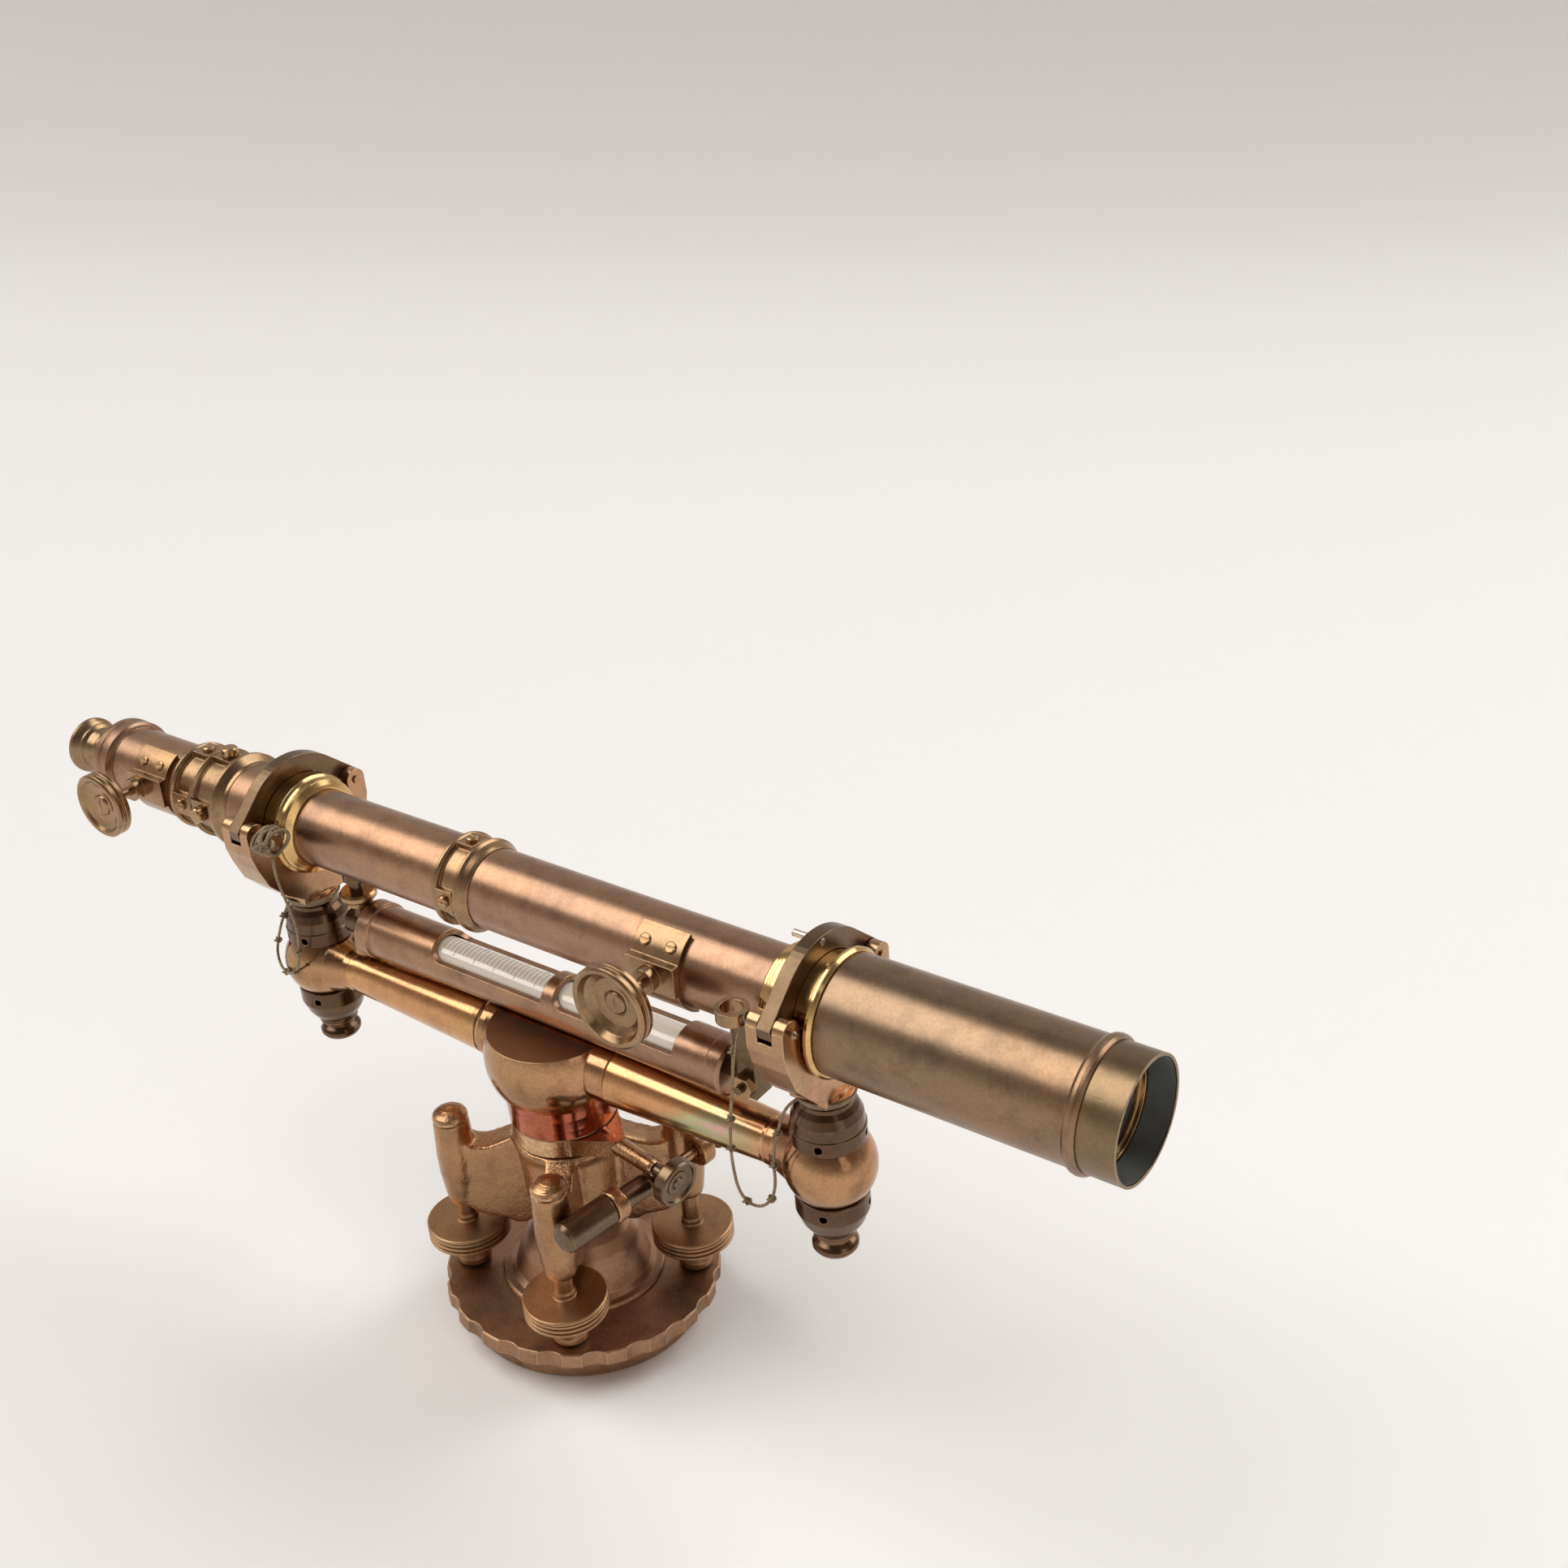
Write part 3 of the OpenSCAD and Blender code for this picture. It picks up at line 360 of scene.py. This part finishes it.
def glass(name, tint, roughness=0.02):
    n = Nodes(name)
    smear = n.noise(180.0, 4.0, 0.6)
    n.set(Base_Color=tint, Transmission_Weight=1.0, IOR=1.5,
          Roughness=n.math("MULTIPLY_ADD", smear, 0.06, roughness))
    return n.material


def level_glass(name):
    """The level's vial over its white backing."""
    n = Nodes(name)
    clouds = n.noise(60.0, 4.0, 0.6, stretch=(0.3, 1, 1))
    colour = n.mix(n.ramp(clouds, (0.35, 0.0), (0.70, 1.0)),
                   (1.0, 0.93, 0.80), (0.95, 0.90, 0.76))
    specks = n.ramp(n.noise(700.0, 3.0, 0.6), (0.66, 0.0), (0.74, 0.5))
    colour = n.mix(specks, colour, (0.30, 0.27, 0.18))
    n.set(Base_Color=colour, Roughness=n.math(
        "MULTIPLY_ADD", clouds, 0.1, 0.05), Coat_Weight=1.0,
        Coat_Roughness=0.03, IOR=1.5)
    return n.material


def lining(name):
    n = Nodes(name)
    grain = n.noise(300.0, 4.0, 0.6)
    blotches = n.noise(45.0, 4.0, 0.6)
    colour = n.mix(n.ramp(blotches, (0.35, 0.0), (0.70, 1.0)),
                   (0.012, 0.013, 0.010), (0.040, 0.044, 0.033))
    n.set(Base_Color=colour, Metallic=0.1, Roughness=n.math(
        "MULTIPLY_ADD", grain, 0.2, 0.34),
        Normal=n.bump(grain, 0.15, 0.0002))
    return n.material


def twine(name):
    n = Nodes(name)
    fibres = n.noise(1400.0, 3.0, 0.6)
    wax = n.noise(160.0, 3.0, 0.6)
    colour = n.mix(n.ramp(fibres, (0.35, 0.0), (0.65, 1.0)),
                   (0.12, 0.075, 0.036), (0.33, 0.235, 0.12))
    colour = n.mix(n.ramp(wax, (0.45, 0.0), (0.70, 0.7)), colour,
                   (0.40, 0.32, 0.19))
    n.set(Base_Color=colour, Roughness=0.55,
          Normal=n.bump(fibres, 0.5, 0.0002))
    return n.material


def ink(name, dark, pale):
    n = Nodes(name)
    worn = n.noise(900.0, 2.0, 0.5)
    colour = n.mix(n.ramp(worn, (0.40, 0.0), (0.60, 1.0)),
                   dark, pale)
    n.set(Base_Color=colour, Roughness=0.5)
    return n.material


def make_materials():
    made = {}
    made["lacquered_tube"] = metal(
        "lacquered_tube", (0.37, 0.225, 0.145), (0.44, 0.250, 0.140),
        (0.14, 0.080, 0.056), (0.74, 0.52, 0.30), 0.30, "x", 0.10, spots=0.6)
    made["barrel_lacquer"] = metal(
        "barrel_lacquer", (0.285, 0.190, 0.118), (0.33, 0.200, 0.112),
        (0.12, 0.075, 0.050), (0.66, 0.46, 0.27), 0.31, "x", 0.10, spots=0.6)
    made["polished_brass"] = metal(
        "polished_brass", (0.74, 0.50, 0.22), (0.72, 0.42, 0.18),
        (0.30, 0.17, 0.08), (0.95, 0.72, 0.38), 0.16, "x", 0.12, spots=0.35,
        wear=0.3, dents=0.01)
    made["aged_brass"] = metal(
        "aged_brass", (0.36, 0.235, 0.130), (0.43, 0.255, 0.130),
        (0.12, 0.075, 0.045), (0.74, 0.52, 0.29), 0.26, "x", 0.14, spots=0.6)
    made["shade_brass"] = metal(
        "shade_brass", (0.22, 0.160, 0.095), (0.27, 0.180, 0.100),
        (0.13, 0.085, 0.050), (0.70, 0.52, 0.33), 0.33, "x", 0.14, spots=0.5)
    made["golden_brass"] = metal(
        "golden_brass", (0.60, 0.345, 0.160), (0.64, 0.315, 0.155),
        (0.20, 0.105, 0.055), (0.92, 0.66, 0.36), 0.21, "x", 0.07, spots=0.5,
        dents=0.01)
    made["wye_brass"] = metal(
        "wye_brass", (0.50, 0.310, 0.165), (0.56, 0.290, 0.170),
        (0.19, 0.110, 0.060), (0.92, 0.66, 0.38), 0.25, spots=0.5)
    made["bar_brass"] = metal(
        "bar_brass", (0.66, 0.385, 0.165), (0.66, 0.320, 0.160),
        (0.26, 0.135, 0.065), (0.92, 0.68, 0.36), 0.19, "x", 0.07, spots=0.5,
        dents=0.01, stain=((0.082, -0.008, 0.117), 0.030, (0.42, 0.52, 0.30),
                           (0.70, 0.36, 0.33)))
    made["hub_brass"] = metal(
        "hub_brass", (0.47, 0.275, 0.135), (0.56, 0.270, 0.145),
        (0.15, 0.078, 0.042), (0.95, 0.68, 0.38), 0.17, "z", 0.05, spots=0.75,
        dents=0.01, flat_top=0.032)
    made["red_copper"] = metal(
        "red_copper", (0.48, 0.120, 0.070), (0.56, 0.190, 0.090),
        (0.10, 0.03, 0.025), (0.80, 0.38, 0.20), 0.15, "z", 0.25, spots=0.7,
        dents=0.02)
    made["cast_bronze"] = metal(
        "cast_bronze", (0.44, 0.255, 0.130), (0.54, 0.295, 0.150),
        (0.15, 0.082, 0.046), (0.95, 0.64, 0.36), 0.26, sand=0.32,
        edge=None, wear=0.7, spots=0.6, pitting=0.12)
    made["foot_bronze"] = metal(
        "foot_bronze", (0.40, 0.235, 0.140), (0.48, 0.270, 0.155),
        (0.11, 0.062, 0.040), (0.85, 0.56, 0.34), 0.42, "z", 0.10, sand=0.10,
        edge=0.0008, wear=0.85, spots=0.65, pitting=0.2)
    made["screw_brass"] = metal(
        "screw_brass", (0.42, 0.250, 0.130), (0.48, 0.265, 0.135),
        (0.15, 0.085, 0.048), (0.78, 0.54, 0.30), 0.38, "z", 0.3, spots=0.45,
        dents=0.02)
    made["dark_bronze"] = metal(
        "dark_bronze", (0.125, 0.076, 0.048), (0.20, 0.112, 0.064),
        (0.04, 0.027, 0.020), (0.60, 0.40, 0.23), 0.22, "z", 0.16)
    made["barrel_grey"] = metal(
        "barrel_grey", (0.19, 0.135, 0.082), (0.24, 0.160, 0.092),
        (0.07, 0.050, 0.034), (0.58, 0.44, 0.28), 0.30, spots=0.5)
    made["clip_bronze"] = metal(
        "clip_bronze", (0.18, 0.118, 0.068), (0.23, 0.142, 0.078),
        (0.07, 0.045, 0.030), (0.55, 0.40, 0.26), 0.30, spots=0.4)
    made["hanger_bronze"] = metal(
        "hanger_bronze", (0.15, 0.098, 0.055), (0.32, 0.195, 0.092),
        (0.045, 0.031, 0.020), (0.60, 0.42, 0.22), 0.25, spots=0.5)
    made["small_brass"] = metal(
        "small_brass", (0.45, 0.28, 0.14), (0.52, 0.30, 0.145),
        (0.15, 0.095, 0.05), (0.85, 0.62, 0.36), 0.24, spots=0.4)
    made["spring_steel"] = metal(
        "spring_steel", (0.42, 0.42, 0.42), (0.5, 0.47, 0.43),
        (0.14, 0.13, 0.12), (0.7, 0.7, 0.7), 0.3)
    made["bright_pin"] = metal(
        "bright_pin", (0.66, 0.60, 0.48), (0.72, 0.62, 0.46),
        (0.30, 0.25, 0.18), (0.9, 0.85, 0.72), 0.24)
    made["black_lining"] = lining("black_lining")
    made["lens_glass"] = glass("lens_glass", (0.88, 0.96, 0.92, 1))
    made["level_glass"] = level_glass("level_glass")
    made["waxed_cord"] = twine("waxed_cord")
    made["ink"] = ink("ink", (0.03, 0.03, 0.025), (0.10, 0.09, 0.07))
    made["bubble_rim"] = ink("bubble_rim", (0.16, 0.20, 0.13),
                             (0.30, 0.34, 0.24))
    return made


# Nodes whose finish differs from the others of their slot
OWN = {"vial_glass": "level_glass", "objective_barrel": "barrel_lacquer",
       "sunshade": "shade_brass", "bar_hub": "hub_brass",
       "bar_tubes": "bar_brass", "bar_ends": "hub_brass",
       "wye_front": "wye_brass", "wye_rear": "wye_brass",
       "spring_barrel": "barrel_grey", "clamp_screw": "barrel_grey",
       "clip_front": "clip_bronze", "clip_rear": "clip_bronze",
       "vial_hangers": "hanger_bronze", "stop_pin": "bright_pin"}


def dress_nodes(made):
    """Gives every CAD node its slot's material, or the finish that OWN names for it."""
    slots = {s["node"]: s["material_slot"]
             for s in frame["record"]["subparts"]}
    for name, obj in frame["nodes"].items():
        obj.data.materials.clear()
        obj.data.materials.append(made[OWN.get(name, slots[name])])


# ---- Building helpers ----

def piece(name, bm, material, body):
    """Turns a bmesh in the row frame into a piece of the object."""
    bmesh.ops.recalc_face_normals(bm, faces=bm.faces)
    mesh = bpy.data.meshes.new(name)
    bm.to_mesh(mesh)
    bm.free()
    mesh.polygons.foreach_set("use_smooth", [True] * len(mesh.polygons))
    mesh.materials.append(MATERIALS[material])
    obj = bpy.data.objects.new(name, mesh)
    bpy.context.scene.collection.objects.link(obj)
    if body:
        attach(obj, body)
    return obj


def smooth_route(points, per_span=10):
    """Catmull-Rom points through a route."""
    ends = [2 * points[0] - points[1]] + points + [2 * points[-1] - points[-2]]
    out = []
    for k in range(1, len(ends) - 2):
        p0, p1, p2, p3 = ends[k - 1:k + 3]
        for step in range(per_span):
            t = step / per_span
            out.append(0.5 * (2 * p1 + (p2 - p0) * t
                              + (2 * p0 - 5 * p1 + 4 * p2 - p3) * t * t
                              + (3 * p1 - 3 * p2 + p3 - p0) * t ** 3))
    return out + [points[-1]]


def sweep(bm, points, radius, sides=10, closed=False, lobes=0.0, pitch=0.003):
    """Adds a tube along points. With lobes, it is a two-ply twist."""
    normal = None
    rings = []
    walked = 0.0
    last = len(points) - 1
    for k, point in enumerate(points):
        ahead = points[(k + 1) % len(points)] if closed or k < last else point
        behind = points[k - 1] if closed or k else point
        tangent = (ahead - behind).normalized()
        if normal is None:
            normal = tangent.orthogonal().normalized()
        normal = (normal - tangent * normal.dot(tangent)).normalized()
        side = tangent.cross(normal)
        if k:
            walked += (point - points[k - 1]).length
        turn = 2 * math.pi * walked / pitch
        ring = []
        for i in range(sides):
            a = 2 * math.pi * i / sides
            r = radius * (1 - lobes * abs(math.sin(a - turn)))
            ring.append(bm.verts.new(
                point + (normal * math.cos(a) + side * math.sin(a)) * r))
        rings.append(ring)
    spans = len(points) if closed else last
    for k in range(spans):
        a, b = rings[k], rings[(k + 1) % len(points)]
        for i in range(sides):
            j = (i + 1) % sides
            bm.faces.new((a[i], a[j], b[j], b[i]))
    if not closed:
        bm.faces.new(rings[0])
        bm.faces.new(rings[-1])


def lathe_x(bm, outline, y=0.0, z=SCOPE_Z, sides=96, start=0.0, sweep_deg=360.0):
    """Adds a piece turned about X from closed outline points (radius, x)."""
    full = sweep_deg >= 360
    count = sides if full else sides + 1
    rings = []
    for k in range(count):
        a = math.radians(start + sweep_deg * k / sides)
        rings.append([bm.verts.new(at(x, y - r * math.cos(a),
                                      z + r * math.sin(a)))
                      for r, x in outline])
    size = len(outline)
    for k in range(sides):
        a, b = rings[k], rings[(k + 1) % count]
        for i in range(size):
            j = (i + 1) % size
            bm.faces.new((a[i], a[j], b[j], b[i]))
    if not full:
        bm.faces.new(rings[0])
        bm.faces.new(rings[-1])


# ---- The casting ----

def make_casting():
    """Spider and brackets as one casting with soft corners."""
    bm = bmesh.new()
    for name in ("spider", "tangent_brackets"):
        node = frame["nodes"][name]
        copy = node.data.copy()
        copy.transform(node.matrix_world)
        bm.from_mesh(copy)
        bpy.data.meshes.remove(copy)
    casting = piece("spider_casting", bm, "cast_bronze", None)
    remesh = casting.modifiers.new("one_piece", "REMESH")
    remesh.mode = "VOXEL"
    remesh.voxel_size = 0.7 * MM
    soft = casting.modifiers.new("soft", "SMOOTH")
    soft.factor = 0.5
    soft.iterations = 14
    bpy.context.view_layer.update()
    graph = bpy.context.evaluated_depsgraph_get()
    mesh = bpy.data.meshes.new_from_object(casting.evaluated_get(graph))
    casting.modifiers.clear()
    casting.data = mesh
    mesh.materials.clear()
    mesh.materials.append(MATERIALS["cast_bronze"])
    mesh.polygons.foreach_set("use_smooth", [True] * len(mesh.polygons))
    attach(casting, "spider")
    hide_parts("spider", "tangent_brackets")


# ---- Telescope details ----

def make_lining():
    """Blackened inside of the objective barrel and the sunshade."""
    bm = bmesh.new()
    lathe_x(bm, [(20.27, 141.5), (20.27, 248.3), (20.12, 248.3),
                 (20.12, 141.5)])
    piece("barrel_lining", bm, "black_lining", "telescope")


def make_cross_wires():
    bm = bmesh.new()
    for ends in (((0, -7.4, 0), (0, 7.4, 0)), ((0, 0, -7.4), (0, 0, 7.4))):
        sweep(bm, [at(-166 + p[0], p[1], SCOPE_Z + p[2]) for p in ends],
              0.03 * MM, 6)
    piece("cross_wires", bm, "ink", "telescope")


def make_graduations():
    """Etched lines across the top of the level's glass, and its bubble."""
    bm = bmesh.new()
    for k in range(-13, 14):
        x = -22 + 2.1 * k
        reach = 74 if k % 5 == 0 else 50
        lathe_x(bm, [(7.84, x - 0.08), (7.94, x - 0.08), (7.94, x + 0.08),
                     (7.84, x + 0.08)], z=LEVEL_Z, sides=20,
                start=84 - reach / 2, sweep_deg=reach)
    piece("level_lines", bm, "ink", "telescope")
    bm = bmesh.new()
    rim = []
    for k in range(72):
        a = 2 * math.pi * k / 72
        across = math.radians(90 + 24 * math.sin(a))
        rim.append(at(36 + 15 * math.cos(a), -LEVEL_R * math.cos(across),
                      LEVEL_Z + LEVEL_R * math.sin(across)))
    sweep(bm, rim, 0.12 * MM, 6, closed=True)
    piece("level_bubble", bm, "bubble_rim", "telescope")


# ---- Cords ----

FRONT_ROUTE = [[113.3, -28, 193.9], [113.4, -28.1, 187.7],
               [112.9, -28.1, 181.5], [112.2, -28, 175.4],
               [111.2, -27.8, 169.2], [110.2, -27.5, 163.1], [109, -27.2, 157],
               [107.9, -26.8, 150.9], [106.9, -26.3, 144.8],
               [106.2, -25.8, 138.6], [105.7, -25.2, 132.5],
               [105.5, -24.4, 126.3], [105.5, -23.4, 120.2], [106, -22, 115],
               [107.6, -20.4, 111], [110.4, -18.4, 109.2],
               [113.2, -16.6, 110.8], [114.8, -15.4, 114.6],
               [115.5, -14.9, 119.4], [115.6, -14.9, 124.6],
               [115.8, -15.1, 130.1], [116.7, -15.1, 136.2],
               [118.1, -14.5, 142.3], [119.4, -13.5, 148.2],
               [121.2, -11.4, 153.2], [124.5, -7.6, 156]]
REAR_ROUTE = [[-110.2, -29.2, 192.4], [-108.6, -30.6, 188],
              [-107.4, -31, 182.8], [-106.8, -30.4, 177.2],
              [-106.9, -29.2, 171.4], [-107.6, -27.8, 165.7],
              [-109, -26.2, 160.1], [-110.9, -24.9, 154.5],
              [-112.8, -24.1, 149], [-114.9, -23.3, 143.6],
              [-117.4, -22.5, 138.4], [-120.5, -21.6, 133.5],
              [-124.3, -20.4, 129.2], [-129.1, -18.9, 126],
              [-134.5, -17.3, 124.2], [-140, -15.4, 124.6],
              [-143.1, -13.5, 128.9], [-142.6, -12.2, 134.5],
              [-140.8, -11.4, 140.1], [-138.4, -10.7, 145.5],
              [-136.1, -9.4, 150.8], [-134.6, -6.9, 156]]


def knot(name, centre, size, body, strands=0.6):
    """A small overhand knot of twine."""
    bm = bmesh.new()
    points = []
    for k in range(60):
        t = 2 * math.pi * k / 60
        v = Vector(((2 + math.cos(3 * t)) * math.cos(2 * t),
                    (2 + math.cos(3 * t)) * math.sin(2 * t),
                    math.sin(3 * t) * 1.3))
        points.append(centre + v * (size / 3.0))
    sweep(bm, points, strands * MM, 8, closed=True, lobes=0.2, pitch=0.002)
    return piece(name, bm, "waxed_cord", body)


def make_cord(name, route, post_x, knot_shares, bight=None):
    points = smooth_route([at(*p) for p in route])
    for _ in range(12):
        points[1:-1] = [(a + 2 * b + c) / 4 for a, b, c
                        in zip(points, points[1:], points[2:])]
    bm = bmesh.new()
    sweep(bm, points, CORD_R * MM, 12, lobes=0.22)
    cord = piece(name, bm, "waxed_cord", None)
    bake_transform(cord)
    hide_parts("cord_" + name.split("_")[0])
    for k, share in enumerate(knot_shares):
        place = points[int(share * (len(points) - 1))]
        tie = knot("%s_knot_%d" % (name, k + 1), place, 1.5 * MM, None, 0.5)
        if share < 0.45:
            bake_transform(tie)
        else:
            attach(tie, "alidade")
    if bight:
        strand = bmesh.new()
        ends = [at(*p) for p in bight] + [points[int(0.27 * len(points))]]
        sweep(strand, smooth_route(ends), 0.5 * MM, 10, lobes=0.22)
        strand = piece(name + "_bight", strand, "waxed_cord", None)
        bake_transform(strand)
    wraps = bmesh.new()
    ring = []
    for k in range(3 * 32 + 1):
        a = 2 * math.pi * k / 32
        height = 153.9 + 1.15 * k / 32
        r = 8.75 + 0.6 + 0.5625 * max(0.0, height - 154)
        ring.append(at(post_x + r * math.cos(a), r * math.sin(a), height))
    sweep(wraps, ring, 0.6 * MM, 8, lobes=0.22)
    piece(name + "_wraps", wraps, "waxed_cord", "alidade")


def make_pin_windings(name, centre, radius, body, loops, tilt, strand):
    """Twine wound round a clip pin, along X."""
    bm = bmesh.new()
    for k in range(loops):
        lean = math.radians(tilt * math.sin(2.1 * k + 0.4))
        swing = math.radians(tilt * math.cos(1.3 * k))
        shift = (k - (loops - 1) / 2) * 1.6 * strand
        points = []
        for i in range(40):
            a = 2 * math.pi * i / 40
            r = radius + strand * (1 + 0.5 * math.sin(2 * a + 1.7 * k))
            u, v = r * math.cos(a), r * math.sin(a)
            w = shift + u * math.sin(swing) * 0.7 + v * math.sin(lean) * 0.7
            points.append(at(centre[0] + w, centre[1] + u, centre[2] + v))
        sweep(bm, points, strand * MM, 8, closed=True, lobes=0.22)
    piece(name, bm, "waxed_cord", body)


make_camera()
make_studio()
make_floor()
MATERIALS = make_materials()
dress_nodes(MATERIALS)
make_casting()
make_lining()
make_cross_wires()
make_graduations()
make_cord("front_cord", FRONT_ROUTE, WYE_X,
          (0.07, 0.27, 0.36, 0.55, 0.66, 0.78, 0.88),
          bight=([118, -28, 197], [116, -29, 190], [113.5, -29, 178]))
make_cord("rear_cord", REAR_ROUTE, -WYE_X,
          (0.42, 0.56, 0.67, 0.81, 0.92))
make_pin_windings("rear_pin_windings", (-112.6, -26.5, 198), 4.5, "rear_pin",
                  5, 34, 0.85)
make_pin_windings("front_pin_windings", (118.4, -26.5, 198), 1.5, "front_pin",
                  3, 20, 0.5)
knot("rear_pin_knot", at(-110.5, -31.5, 199), 4.2 * MM, "rear_pin", 0.8)
